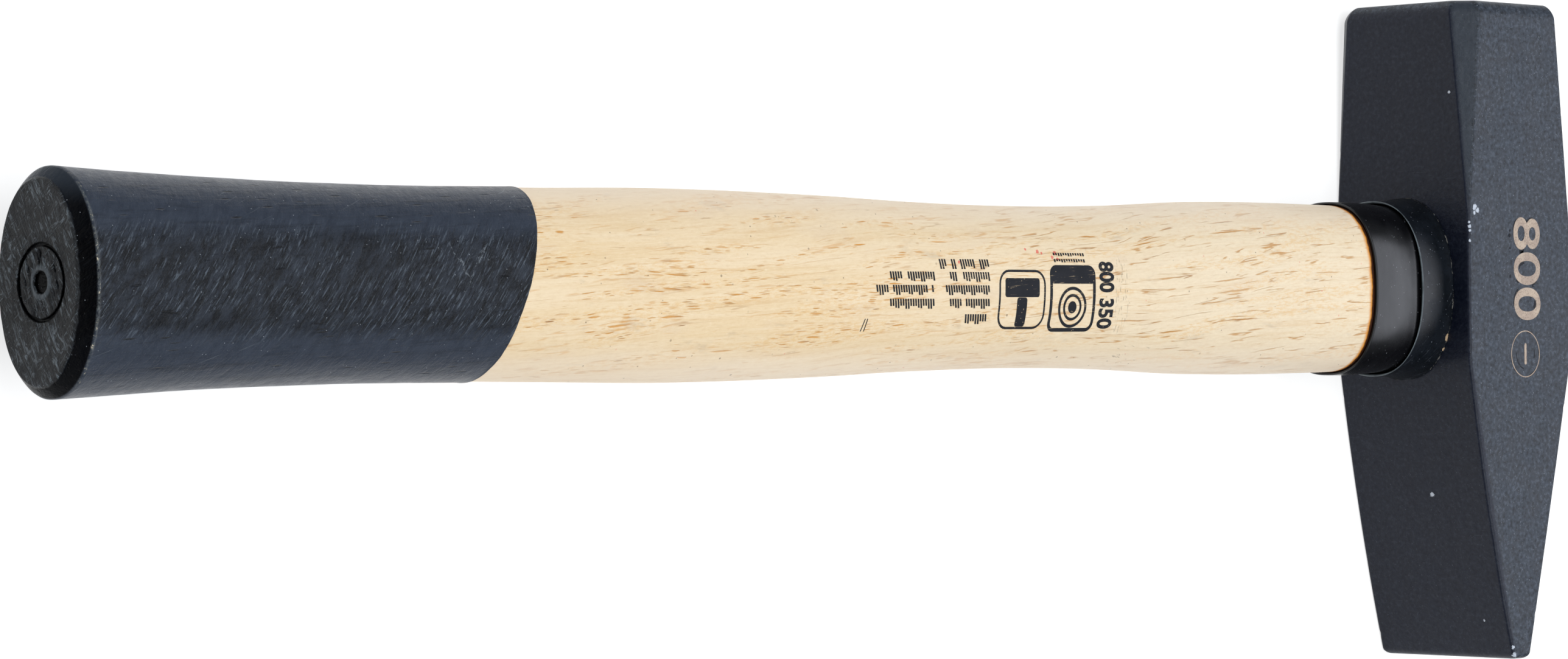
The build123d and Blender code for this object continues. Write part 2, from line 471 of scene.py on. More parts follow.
def wood_paint():
    paint = Paint("pale_wood")
    bend = paint.figure((45.0, 14.0), 0.0, STILL, detail=1.0)
    warp = bend * 5.0
    broad = paint.figure((60.0, 6.0), 0.06, (0.0, 0.0, 2.0), warp, detail=3.0)
    streak = paint.figure((28.0, 1.1), 0.05, (3.0, 1.0, 7.0), warp, detail=4.0, roughness=0.62)
    fibre = paint.figure((7.0, 0.22), 0.05, (1.0, 5.0, 2.0), warp, detail=3.0, roughness=0.65)
    fleck = paint.figure((1.6, 0.5), 0.05, (7.0, 3.0, 4.0), detail=3.0, roughness=0.7)
    cloud = paint.figure((18.0, 7.0), 0.05, (8.0, 2.0, 5.0), detail=3.0)
    paint.ground(broad.step(0.34, 0.66), (221, 199, 166), (217, 192, 154))
    paint.coat(paint.x.step(-60.0, 100.0, 0.0, 0.75), (214, 198, 172))
    paint.coat(streak.step(0.5, 0.72, 0.0, 0.38), (200, 164, 116))
    paint.coat(streak.step(0.48, 0.3, 0.0, 0.35), (224, 205, 176))
    paint.coat(cloud.step(0.55, 0.72, 0.0, 0.35), (206, 184, 158))
    paint.coat(fibre.step(0.5, 0.72, 0.0, 0.24), (190, 154, 108))
    paint.coat(fleck.step(0.5, 0.66, 0.0, 0.16), (188, 150, 104))
    paint.coat(fleck.step(0.46, 0.3, 0.0, 0.3), (230, 212, 184))

    # Pores: thin dashes along the grain, crowded in slanting bands, longer towards the head
    bands = paint.figure((40.0, 3.2), 0.118, (4.0, 2.0, 1.0), warp, detail=1.0, roughness=0.4)
    far_half = paint.x.step(0.0, 40.0)
    near_half = 1.0 - far_half
    crowd = bands.step(0.47, 0.6)
    halo = crowd * fleck.step(0.44, 0.6)
    paint.coat(halo * 0.3, (214, 168, 100))
    thinned = paint.x.step(60.0, 100.0, 1.0, 0.35)  # fewer pores near the sleeve
    layers = []
    for length, width, share, slope, seed, where in (
        (7.0, 0.6, 0.6, 0.045, 0.3, near_half),
        (4.4, 0.42, 0.5, 0.05, 5.3, near_half),
        (13.0, 0.8, 0.2, 0.03, 7.7, None),
        (26.0, 0.8, 0.45, 0.06, 11.9, far_half),
        (12.0, 0.5, 0.25, 0.05, 17.1, far_half),
    ):
        wobble = paint.figure((3.0, 2.0), 0.0, (seed, 1.0, 1.0))
        curve = warp + wobble * 0.35
        at = paint.unrolled((length, width), slope, (seed, seed * 2, 0.0), curve)
        distance, lot, thickness, darkness = paint.cells(at, "2D")
        dash = (distance - thickness.step(0.0, 1.0, 0.14, 0.28)).step(0.0, -0.12)
        limit = (crowd + 0.04) * share * thinned
        dash = dash * (lot - limit).step(0.02, -0.02) * darkness.step(0.0, 1.0, 0.35, 1.0)
        layers.append(dash * where if where else dash)

    # Long hair-thin pores: contour lines of a drawn-out noise, broken up
    drawn = paint.figure((30.0, 2.2), 0.11, (2.0, 9.0, 4.0), warp, detail=3.0, roughness=0.55)
    broken = paint.figure((9.0, 1.2), 0.11, (5.0, 3.0, 8.0))
    contour = abs(drawn - 0.5).step(0.02, 0.006)
    layers.append(contour * broken.step(0.5, 0.6) * far_half.step(0.0, 1.0, 0.4, 0.8))
    pores = paint.either(*layers)
    tone = paint.figure((9.0, 3.0), 0.0, (6.0, 6.0, 6.0))
    ochre = paint.blend(near_half, (180, 130, 70), (196, 138, 66))
    paint.coat(pores, paint.blend(tone.step(0.48, 0.72), ochre, (150, 104, 58)))

    # Handling marks: grey smears, red ink and specks of dark brown
    dirt = paint.grain((11.0, 4.0, 4.0), 4.0, 0.65, move=(9.0, 4.0, 2.0))
    grubby = dirt.step(0.6, 0.76, 0.0, 0.35)
    # Painted sheen: the wood is painted paler towards both flanks
    flank_sheen = abs(paint.y - axis_y).step(9.0, 15.5, 0.0, 0.5)
    paint.coat(grubby, (160, 142, 124))
    paint.coat(flank_sheen, (231, 214, 194))
    rub = paint.grain((0.4, 1.8, 9.0), 3.0, 0.7, move=(2.0, 1.0, 0.0))
    across = paint.y.step(-1.0, 1.0) * paint.y.step(14.5, 12.5) * paint.z.step(axis_z, axis_z + 1)
    smudged = across * paint.x.step(49.4, 50.0) * paint.x.step(53.4, 52.6)
    dashes = paint.grain((2.4, 0.35, 9.0), 3.0, 0.7, turn=(0.0, 0.0, 12.0), move=(1.0, 3.0, 0.0))
    lower = paint.y.step(-7.5, -6.0) * paint.y.step(-1.6, -2.6) * paint.x.step(51.0, 54.0)
    lower = lower * paint.x.step(63.0, 60.0) * paint.z.step(axis_z, axis_z + 1)
    smear = paint.either(smudged * rub.step(0.54, 0.66), lower * dashes.step(0.6, 0.68))
    paint.coat(smear * 0.6, (110, 90, 74))
    tops = ((x, y, float(handle_top(x, y)), r) for x, y, r in RED_SPECKS)
    red = paint.either(*(paint.blot(*place, 0.9, 0.4) for place in tops))
    red = paint.either(red, paint.spots(0.35, 0.006, 21.0))
    paint.coat(red * 0.8, (206, 78, 68))
    specks = paint.either(paint.spots(0.42, 0.008, 8.0), paint.spots(0.25, 0.012, 15.0))
    paint.coat(specks * 0.75, (84, 60, 42))

    # Scorched line where the sleeve was pressed on
    wander = paint.grain((3.0, 2.2, 2.2), 2.0)
    near_sleeve = paint.x + wander * 0.9
    glow = near_sleeve.step(sleeve_x - 1.3, sleeve_x - 0.1)
    dark = near_sleeve.step(sleeve_x - 0.35, sleeve_x + 0.1)
    paint.coat(glow, (198, 124, 8))
    paint.coat(dark, (52, 26, 12))
    paint.put(fibre.step(0.3, 0.7, 0.42, 0.56), paint.surface["Roughness"])
    paint.bumps((fibre, 0.02), (streak, 0.04), (1.0 - pores, 0.05))
    return paint.finish(specular=0.3)


def end_grain_paint():
    paint = Paint("end_grain")
    radius = paint.from_line(axis_y + 22.0, axis_z - 30.0)  # the tree's middle, well outside the handle
    wobble = paint.grain((9.0, 4.0, 4.0), 3.0)
    years = paint.maths("SINE", (radius + wobble * 1.5) * 3.1)
    pores = paint.spots(0.28, 0.7, 2.0)
    paint.ground(years.step(-0.6, 0.9), (206, 168, 118), (172, 124, 74))
    paint.coat(pores * 0.6, (92, 58, 30))
    grime = paint.grain(5.0, 4.0, 0.65, move=(2.0, 2.0, 2.0))
    paint.coat(grime.step(0.5, 0.75, 0.0, 0.6), (70, 58, 48))
    paint.put(grime.step(0.3, 0.7, 0.6, 0.8), paint.surface["Roughness"])
    paint.bumps((years, 0.04), (1.0 - pores, 0.08))
    return paint.finish(specular=0.3)


def lacquer_paint():
    paint = Paint("grip_lacquer")
    slant = (0.0, 0.0, -4.0)
    grain = paint.grain((14.0, 0.8, 0.8), 4.0, 0.65, turn=slant)
    distance, lot, _, _ = paint.cells(paint.stretched((7.5, 0.9, 0.9), slant, (2.0, 7.0, 4.0)))
    pores = distance.step(0.22, 0.08) * lot.step(0.45, 0.3)
    mottle = paint.grain((3.8, 1.5, 2.4), 5.0, 0.75, turn=(0.0, 0.0, -52.0), move=(5.0, 1.0, 0.0))

    # Scuffs: short slanting hair scratches where the hand goes, on the upper and lower flanks only few
    middle = abs(paint.y - axis_y).step(11.0, 6.0)
    patch = paint.grain((15.0, 8.0, 8.0), 3.0, move=(1.0, 3.0, 5.0))
    worn_area = patch.step(0.32, 0.5) * middle
    hair = paint.grain((3.0, 0.36, 4.0), 4.0, 0.75, turn=(0.0, 0.0, -54.0))
    cross = paint.grain((9.0, 0.2, 9.0), 2.0, 0.6, turn=(0.0, 0.0, -20.0), move=(7.0, 1.0, 2.0))
    light_hair = hair.step(0.54, 0.64) * worn_area
    dark_hair = hair.step(0.44, 0.34) * worn_area
    long_hair = cross.step(0.68, 0.74) * patch.step(0.45, 0.6)

    # Painted reflection: the lacquer is painted lighter in bands along both flanks
    aside = abs(paint.y - axis_y) + patch * 3.0
    flank_reflection = aside.step(7.4, 11.2)
    paint.ground(mottle.step(0.36, 0.64), (9, 11, 16), (32, 37, 46))
    paint.coat(flank_reflection * 0.62, (52, 59, 72))
    paint.coat(grain.step(0.5, 0.72, 0.0, 0.4), (12, 14, 18))
    paint.coat(dark_hair * 0.8, (4, 4, 6))
    paint.coat(light_hair * 0.7, (82, 90, 100))
    paint.coat(long_hair * 0.4, (112, 118, 124))
    paint.coat(pores * 0.8, (9, 10, 12))

    # A scratch with two arms near the slanted edge
    arms = abs(paint.x + 105.0)
    climb = paint.y - 9.2 - arms * 1.35
    curl = paint.grain(1.5, 4.0, 0.7, move=(3.0, 2.0, 2.0))
    jitter = (curl - 0.5) * 5.0
    trace = abs(climb + jitter).step(0.35, 0.1)
    trace = trace * arms.step(4.0, 3.4) * paint.z.step(axis_z, axis_z + 1) * hair.step(0.42, 0.55)
    paint.coat(trace * 0.5, (120, 126, 132))

    # Butt end: rough end grain with a turned groove and a centre hole, and a glossier black bevel
    radius = paint.from_line(axis_y, axis_z)
    edge = paint.grain((1.5, 1.2, 1.2), 3.0, move=(2.0, 8.0, 1.0))
    wavy_x = paint.x + edge * 0.3
    end = wavy_x.step(butt_x + 0.62, butt_x + 0.45)
    bevel = paint.x.step(butt_x + 1.95, butt_x + 1.7) * (1.0 - end)
    fibres = paint.grain((3.0, 4.2, 0.8), 4.0, 0.7, turn=(30.0, 0.0, 0.0), distortion=1.6)
    tilt = (-52.0, 0.0, 0.0)
    crossed = paint.grain((3.0, 3.4, 0.7), 4.0, 0.7, turn=tilt, move=(3.0, 3.0, 9.0), distortion=1.2)
    cloud = paint.grain((2.0, 4.0, 3.0), 4.0, 0.7, move=(8.0, 1.0, 3.0))
    pale = end * fibres.step(0.5, 0.64) * cloud.step(0.4, 0.58)
    pale = paint.either(pale, end * crossed.step(0.55, 0.68) * cloud.step(0.58, 0.42))
    collar_ring = end * radius.step(1.75, 2.0) * radius.step(2.9, 2.4)
    pale = paint.either(pale, collar_ring * 0.5)
    groove = abs(radius - RING_MARK_RADIUS).step(0.5, 0.25)
    hole = radius.step(CENTRE_HOLE_RADIUS + 0.15, CENTRE_HOLE_RADIUS - 0.1)
    paint.coat(end * 0.9, (10, 12, 15))
    paint.coat(pale * 0.85, (118, 128, 136))
    bored = hole * paint.x.step(butt_x + 8.0, butt_x + 6.0)
    # Painted shade: the turned groove and the centre hole are painted near black
    paint.coat(paint.either(end * groove, bored), (2, 2, 3))
    # Painted highlight: the black bevel is painted lighter grey along its top
    crown_highlight = paint.y.step(axis_y + 11.0, axis_y + 16.5)
    paint.coat(bevel * 0.95, paint.blend(crown_highlight, (2, 2, 3), (40, 46, 54)))

    # Rim, on the upper side: a fine pale line of painted edge highlight, and a few cream chips of worn
    # lacquer
    rim = paint.x.step(butt_x + 1.75, butt_x + 1.9) * paint.x.step(butt_x + 2.3, butt_x + 2.1)
    chip = paint.grain((0.6, 0.8, 0.8), 4.0, 0.75, move=(3.0, 3.0, 3.0))
    upper = paint.z.step(axis_z + 3.0, axis_z + 9.0)
    rim_highlight = rim * upper * chip.step(0.42, 0.56)
    rim_chips = rim * upper * chip.step(0.6, 0.65)
    specks = paint.either(paint.spots(0.15, 0.02, 5.0), paint.spots(0.28, 0.004, 11.0))
    paint.coat(rim_highlight * 0.5, (96, 100, 100))
    paint.coat(rim_chips, (205, 192, 168))
    paint.coat(specks * 0.7, (150, 155, 162))

    sheen = mottle.step(0.3, 0.7, 0.3, 0.42)
    sheen = sheen + paint.either(light_hair, dark_hair) * 0.12
    sheen = sheen + end * 0.12
    paint.put(sheen - bevel * 0.14, paint.surface["Roughness"])
    relief = 1.0 - pores
    roughness = (fibres + crossed) * end
    paint.bumps((grain, 0.06), (relief, 0.1), (dark_hair, -0.05), (mottle, 0.2), (roughness, 0.8))
    dull = paint.either(bevel, bored, end * groove) * 0.2
    return paint.finish(specular=0.24 - dull)


def steel_skin(name, base, light, dark, rough_low, rough_high, specks, grit):
    """Blackened steel: mottled, gritty, with dust specks and hair scratches."""
    paint = Paint(name)
    mottle = paint.grain(5.0, 5.0, 0.65)
    grain = paint.grain(0.7, 4.0, 0.7, move=(4.0, 4.0, 4.0))
    dents = paint.grain(2.0, 3.0, move=(1.0, 6.0, 2.0))
    hairs = paint.grain((0.14, 5.0, 5.0), 2.0, turn=(0.0, 0.0, 34.0))
    hair_patch = paint.grain(9.0, 2.0, move=(6.0, 0.0, 3.0))
    scratch = hairs.step(0.66, 0.73) * hair_patch.step(0.5, 0.64)
    paint.ground(mottle.step(0.32, 0.68), base, light)
    paint.coat(grain.step(0.52, 0.7, 0.0, 0.65), dark)
    paint.coat(grain.step(0.46, 0.3, 0.0, 0.5), light)
    paint.coat(scratch * 0.35, (110, 116, 126))
    dust = paint.either(paint.spots(0.24, specks, 1.0), paint.spots(0.15, specks * 2.5, 6.0))
    paint.coat(dust * 0.42, (140, 146, 156))
    paint.put(mottle.step(0.3, 0.7, rough_low, rough_high), paint.surface["Roughness"])
    paint.bumps((grain, grit), (dents, grit * 2.0), (mottle, grit * 2.5))
    return paint


def head_paint():
    paint = steel_skin("blackened_head", (36, 41, 49), (46, 52, 61), (15, 18, 23), 0.38, 0.48, 0.05, 0.05)
    chips = paint.either(*(paint.blot(*chip, 1.4, 0.4) for chip in HEAD_CHIPS))
    sand = paint.grain(0.8, 2.0, 0.6, move=(2.0, 7.0, 5.0))
    paint.coat(sand.step(0.52, 0.68, 0.0, 0.7), (66, 73, 84))
    paint.coat(sand.step(0.48, 0.32, 0.0, 0.7), (14, 16, 21))
    inland = paint.x - seat_x
    slope = NOSE_NEAR / (PEEN_START_Y - nose_y)
    lean = paint.maths("MAXIMUM", PEEN_START_Y - paint.y, 0.0) * slope
    # Painted shade: the side of the head that faces the handle is painted dark blue-black
    handle_side_shade = (inland - lean).step(0.9, 0.3)
    leg = (paint.y - CORNER_START_Y) * (CORNER_LEG / (face_y - CORNER_START_Y))
    below = cheek_z - paint.z
    corner = (leg - inland).step(0.0, 0.6) * (leg - below).step(0.0, 0.6)
    paint.coat(handle_side_shade * 0.76, (4, 8, 27))
    paint.coat(corner * 0.8, (45, 50, 58))
    paint.coat(chips, (172, 178, 188))
    return paint.finish(specular=0.22)


def collar_paint():
    paint = steel_skin("satin_collar", (10, 13, 17), (17, 21, 27), (6, 7, 9), 0.3, 0.42, 0.02, 0.012)
    edge = paint.x.step(seat_x - 0.42, seat_x - 0.2)
    flake = paint.grain((0.8, 1.4, 1.4), 3.0, 0.7, move=(2.0, 1.0, 4.0))
    chips = edge * flake.step(0.56, 0.62)
    # Painted highlight: a patchy pale line along the rim at the collar's butt end
    rim = paint.x.step(collar_x + 0.34, collar_x + 0.16)
    highlight_patches = paint.grain(3.0, 3.0, move=(7.0, 1.0, 2.0))
    paint.coat(chips * 0.6, (128, 124, 118))
    paint.coat(rim * highlight_patches.step(0.3, 0.6, 0.25, 0.8), (96, 104, 108))
    tan = paint.either(paint.blot(146.9, -1.4, 28.0, 0.9), paint.blot(146.9, -3.6, 26.6, 0.4))
    paint.coat(tan, (168, 144, 116))
    return paint.finish(specular=0.2)


def sleeve_paint():
    paint = Paint("gloss_sleeve")
    haze = paint.grain((6.0, 9.0, 9.0), 3.0, 0.6)
    wave = paint.grain((14.0, 5.0, 5.0), 1.0, move=(2.0, 2.0, 2.0))
    dust = paint.either(paint.spots(0.14, 0.03, 4.0), paint.spots(0.3, 0.004, 9.0))
    paint.ground(haze.step(0.3, 0.7), (3, 3, 4), (7, 7, 9))
    paint.coat(dust * 0.6, (150, 152, 158))
    paint.put(haze.step(0.3, 0.7, 0.22, 0.3), paint.surface["Roughness"])
    paint.bumps((wave, 0.1), (haze, 0.02))
    return paint.finish(specular=0.33)


def ink_paint():
    paint = Paint("print_ink")
    slant = (0.0, 0.0, -3.5)
    streak = paint.grain((5.0, 0.3, 0.3), 3.0, 0.7, turn=slant)
    patch = paint.grain((6.0, 3.0, 3.0), 2.0, move=(1.0, 1.0, 1.0))
    gaps = streak.step(0.6, 0.72) * patch.step(0.4, 0.62)
    pinholes = paint.spots(0.16, 0.12, 7.0)
    paint.ground(patch.step(0.3, 0.7), (17, 19, 25), (30, 31, 36))
    paint.coat(paint.either(gaps, pinholes) * 0.6, (196, 172, 138))
    paint.put(patch.step(0.3, 0.7, 0.5, 0.62), paint.surface["Roughness"])
    return paint.finish(specular=0.15)


def etched_paint():
    paint = Paint("etched_mark")
    grit = paint.grain(0.35, 3.0, 0.7)
    cloud = paint.grain(3.0, 2.0)
    paint.ground(cloud.step(0.3, 0.7), (150, 132, 118), (172, 154, 136))
    paint.coat(grit.step(0.5, 0.72, 0.0, 0.7), (84, 72, 66))
    paint.put(grit.step(0.3, 0.7, 0.45, 0.65), paint.surface["Roughness"])
    paint.bumps((grit, 0.03))
    return paint.finish(specular=0.4, metallic=0.25)


def bare_steel_paint():
    paint = Paint("bare_wedge_steel")
    strike = paint.grain(1.4, 4.0, 0.65)
    rust = paint.grain(2.6, 4.0, 0.7, move=(4.0, 2.0, 8.0))
    paint.ground(strike.step(0.3, 0.7), (120, 120, 122), (160, 160, 162))
    paint.coat(rust.step(0.52, 0.7, 0.0, 0.6), (96, 72, 54))
    paint.put(strike.step(0.3, 0.7, 0.35, 0.55), paint.surface["Roughness"])
    paint.bumps((strike, 0.08))
    return paint.finish(specular=0.5, metallic=0.8)


FLOOR_GLOW = 0.7  # the floor is a table lit from below, so that shadows on it stay pale


def floor_paint():
    paint = Paint("pale_floor")
    mottle = paint.grain(300.0, 2.0)
    paint.ground(mottle.step(0.3, 0.7), (178, 177, 176), (182, 181, 180))
    paint.put(mottle.step(0.3, 0.7, 0.8, 0.85), paint.surface["Roughness"])
    paint.surface["Emission Color"].default_value = (1.0, 1.0, 1.0, 1.0)
    paint.surface["Emission Strength"].default_value = FLOOR_GLOW
    return paint.finish(specular=0.1)


# ---------------------------------------------------------------- camera, lights and floor

def make_camera():
    """The viewing angle: from over the butt, turned towards the head, with a long lens."""
    camera = in_scene("camera", bpy.data.cameras.new("camera"))
    camera.location = Vector((-594.13, -4.61, 599.97)) * MM
    camera.rotation_mode = "ZXY"
    camera.rotation_euler = Euler((0.00676, -0.7735, -0.01072), "ZXY")
    camera.data.sensor_width = 36.0
    camera.data.lens = 108.4
    camera.data.clip_start = 0.01
    camera.data.clip_end = 50.0
    bpy.context.scene.camera = camera


def add_softbox(name, location, target, width, height, power, colour, outline="RECTANGLE"):
    """A soft area lamp at location, in metres, turned towards target."""
    lamp = bpy.data.lights.new(name, "AREA")
    lamp.shape = outline
    lamp.size = width
    lamp.size_y = height
    lamp.energy = power
    lamp.color = colour
    holder = in_scene(name, lamp)
    holder.location = location
    aim = Vector(target) - Vector(location)
    holder.rotation_euler = aim.to_track_quat("-Z", "Y").to_euler()


def make_studio():
    floor = bpy.data.objects.new("floor", bpy.data.meshes.new("floor"))
    shape = bmesh.new()
    bmesh.ops.create_grid(shape, x_segments=8, y_segments=8, size=4.0)
    shape.to_mesh(floor.data)
    shape.free()
    floor.data.materials.append(floor_paint())
    bpy.context.scene.collection.objects.link(floor)

    add_softbox(
        "overhead", (-0.15, 0.0, 1.2), (-0.15, 0.0, 0.0),
        width=1.0, height=3.2, power=32.5, colour=(0.93, 0.97, 1.0),
    )
    add_softbox(
        "head_end", (0.445, axis_y * MM, 0.27), (0.13, axis_y * MM, 0.03),
        width=0.48, height=0.2, power=0.72, colour=(0.88, 0.91, 1.0), outline="ELLIPSE",
    )
    world = bpy.data.worlds.new("studio")
    world.use_nodes = True
    world.node_tree.nodes["Background"].inputs["Color"].default_value = (0.86, 0.93, 1.0, 1.0)
    world.node_tree.nodes["Background"].inputs["Strength"].default_value = 0.17
    bpy.context.scene.world = world
    bpy.context.scene.view_settings.view_transform = "Standard"


# ---------------------------------------------------------------- head

def peen_side(y, depth, bulge):
    """How far one side of the peen lies in from the square section, at each y."""
    t = np.clip((PEEN_START_Y - y) / (PEEN_START_Y - nose_y), -0.3, 1.0)
    wedge = depth * t - 4 * bulge * t * (1 - t)
    eased = (wedge + np.sqrt(wedge**2 + PEEN_SOFTNESS**2)) / 2 - PEEN_SOFTNESS / 2 * np.exp(-8 * np.abs(t))
    return np.maximum(eased, 0.0)


def head_outline(y, inset):
    """The head's section at y, shrunk by inset: rounded corners, with the planed flats near the face."""
    along = 30
    x0 = seat_x + peen_side(y, NOSE_NEAR, NEAR_BULGE) + inset
    x1 = top_x - peen_side(y, NOSE_FAR, FAR_BULGE) - inset
    z0, z1 = bottom_z + inset, cheek_z - inset
    radius = EDGE_RADIUS
    planed = CORNER_LEG * (y - CORNER_START_Y) / (face_y - CORNER_START_Y) - inset * (2 - 2**0.5)
    tangent = radius * tan(pi / 8)
    corners = []
    for (cx, cz), (a, b, c, d), share in (
        ((x1, z1), (1, 0, 0, 1), 1.0),
        ((x1, z0), (0, 1, -1, 0), 1.0),
        ((x0, z0), (-1, 0, 0, -1), LOW_CORNER_SHARE),
        ((x0, z1), (0, -1, 1, 0), 1.0),
    ):
        leg = max(planed * share, 0.62 * radius)
        quarter = np.linspace(pi / 2, pi / 4, 5)
        arc = [(-leg - tangent + radius * cos(t), -radius + radius * sin(t)) for t in quarter]
        mirrored = [(v, u) for u, v in arc][::-1]
        corner = np.array(arc + mid_points(arc[-1], mirrored[0], 4) + mirrored)
        u, v = corner[:, 0], corner[:, 1]
        corners.append(np.stack([cx + a * u + b * v, cz + c * u + d * v], axis=-1))
    outline = []
    for k, points in enumerate(corners):
        outline.extend(points.tolist())
        outline.extend(mid_points(points[-1], corners[(k + 1) % 4][0], along))
    return np.array(outline)


def mid_points(start, end, count):
    """Points between start and end, evenly spaced, without the two ends."""
    return [tuple(p) for p in np.linspace(start, end, count + 2)[1:-1]]


def make_head(paint):
    """The forged head: sections along Y, from the middle of the nose to the middle of the face."""
    sections = [
        (nose_y + NOSE_RADIUS * (1 - sin(a)), NOSE_RADIUS * (1 - cos(a))) for a in np.linspace(pi / 2, 0, 9)
    ]
    rim_start = face_y - RIM_DEPTH
    sections += [(y, 0.0) for y in np.linspace(nose_y + NOSE_RADIUS, rim_start, 170)[1:-1]]
    power = 2 / RIM_ROUNDNESS
    for angle in np.linspace(0, pi / 2, 16):
        sections.append((rim_start + RIM_DEPTH * sin(angle) ** power, RIM_INSET * (1 - cos(angle) ** power)))
    rings = [outline_ring(y, inset) for y, inset in sections]

    middle_x = (seat_x + top_x) / 2
    nose_ring, face_ring = rings[0], rings[-1]
    nose_middle = nose_ring.mean(axis=0)
    face_middle = np.array([middle_x, face_y, axis_z])
    steps = np.linspace(0, 0.97, 16)[1:]
    rings = [nose_ring + (nose_middle - nose_ring) * t for t in steps[::-1]] + rings
    rings += [face_ring + (face_middle - face_ring) * t for t in steps]
    rings = np.array(rings)

    # Forging leaves the flats a little uneven, and the edges worn: always inwards, never out of the box
    centre = ring_at(middle_x, rings[..., 1], axis_z)
    inward = centre - rings
    inward /= np.maximum(np.linalg.norm(inward, axis=-1, keepdims=True), 1e-6)
    waves = 0.05 * (1 + rough(rings, 14.0, seed=1)) + 0.012 * (1 + rough(rings, 2.5, seed=2))
    edge = 1.0 * (np.abs(rings[..., 2] - axis_z) > axis_z - bottom_z - 0.9) * np.maximum(
        0, rough(rings, 2.2, 3, seed=3) - 0.35
    )
    rings = rings + inward * (0.5 * waves + 0.25 * edge)[..., None]
    head = add_piece("forged_head", ring_mesh("forged_head", rings), [paint], "forged_steel", "head")

    tool_x = np.linspace(seat_x - 3, top_x + 3, 40)
    tool = in_scene("eye_tool", ring_mesh("eye_tool", oval_rings(EYE, tool_x, turns(96))))
    cut(head, tool)
    bpy.data.objects.remove(tool)


def outline_ring(y, inset):
    outline = head_outline(y, inset)
    return ring_at(outline[:, 0], y, outline[:, 1])


# ---------------------------------------------------------------- handle, lacquer, sleeve and collar

def wood_stations():
    return [(x, half_y - COAT, half_z - COAT, power) for x, half_y, half_z, power in GRIP] + BARE


def kerf_tool():
    """The wooden wedge's taper, carried on past the tenon on every side, so that it cuts cleanly."""
    low, high = in_mm(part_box("wooden_wedge"))
    spread = (high[2] - low[2]) / 2 - WEDGE_TIP_HALF
    points = []
    for x in (low[0], high[0] + 2):
        half = WEDGE_TIP_HALF + spread * (x - low[0]) / (high[0] - low[0])
        corners = ((-30, -half), (30, -half), (30, half), (-30, half))
        points += [(x, axis_y + y, axis_z + z) for y, z in corners]
    faces = [(k, (k + 1) % 4, (k + 1) % 4 + 4, k + 4) for k in range(4)] + [(3, 2, 1, 0), (4, 5, 6, 7)]
    return in_scene("kerf_tool", mesh_from("kerf_tool", np.array(points), faces))


def make_handle(wood, end_grain):
    """The wood from the butt, under the lacquer, to the end of the tenon."""
    angles = turns(144)
    body_x = np.concatenate([np.linspace(butt_x + 2, -100, 60), np.linspace(-99, seat_x, 270)])
    body = oval_rings(wood_stations(), body_x, angles)
    butt_y, butt_z = oval(FLAT_Y - COAT, FLAT_Z - COAT, BUTT_POWER, angles)
    butt_ring = ring_at(butt_x + 0.6, axis_y + butt_y[0], axis_z + butt_z[0])
    tenon_x = np.linspace(seat_x, tenon_end_x - 0.15, 30)
    tenon = oval_rings(EYE, tenon_x, angles, grow=-0.02)
    end_ring = oval_rings(EYE, [tenon_end_x], angles, grow=-0.35)
    end_middle = np.array([tenon_end_x, axis_y, axis_z])
    end_rings = [end_ring + (end_middle - end_ring) * t for t in np.linspace(0, 0.96, 24)]
    rings = np.concatenate([butt_ring[None], body, tenon] + end_rings)
    long_waves = rings * np.array([0.25, 1.0, 1.0])
    shown = (rings[..., 0] > -110) & (rings[..., 0] < seat_x)
    rings = rings + away_from_axis(rings) * (shown * 0.04 * rough(long_waves, 6.0, seed=4))[..., None]
    ends = rings[..., 0] >= tenon_end_x - 0.01
    rings[..., 0] -= ends * 0.08 * (1 + rough(rings, 1.1, 3, seed=5))
    mesh = ring_mesh("wooden_handle", rings)
    handle = add_piece("wooden_handle", mesh, [wood, end_grain], "handle_wood", "handle")
    kerf = kerf_tool()
    cut(handle, kerf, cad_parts["ring_wedge"])
    bpy.data.objects.remove(kerf)
    for polygon in handle.data.polygons:
        if polygon.center.x > (seat_x + 5) * MM:
            polygon.material_index = 1


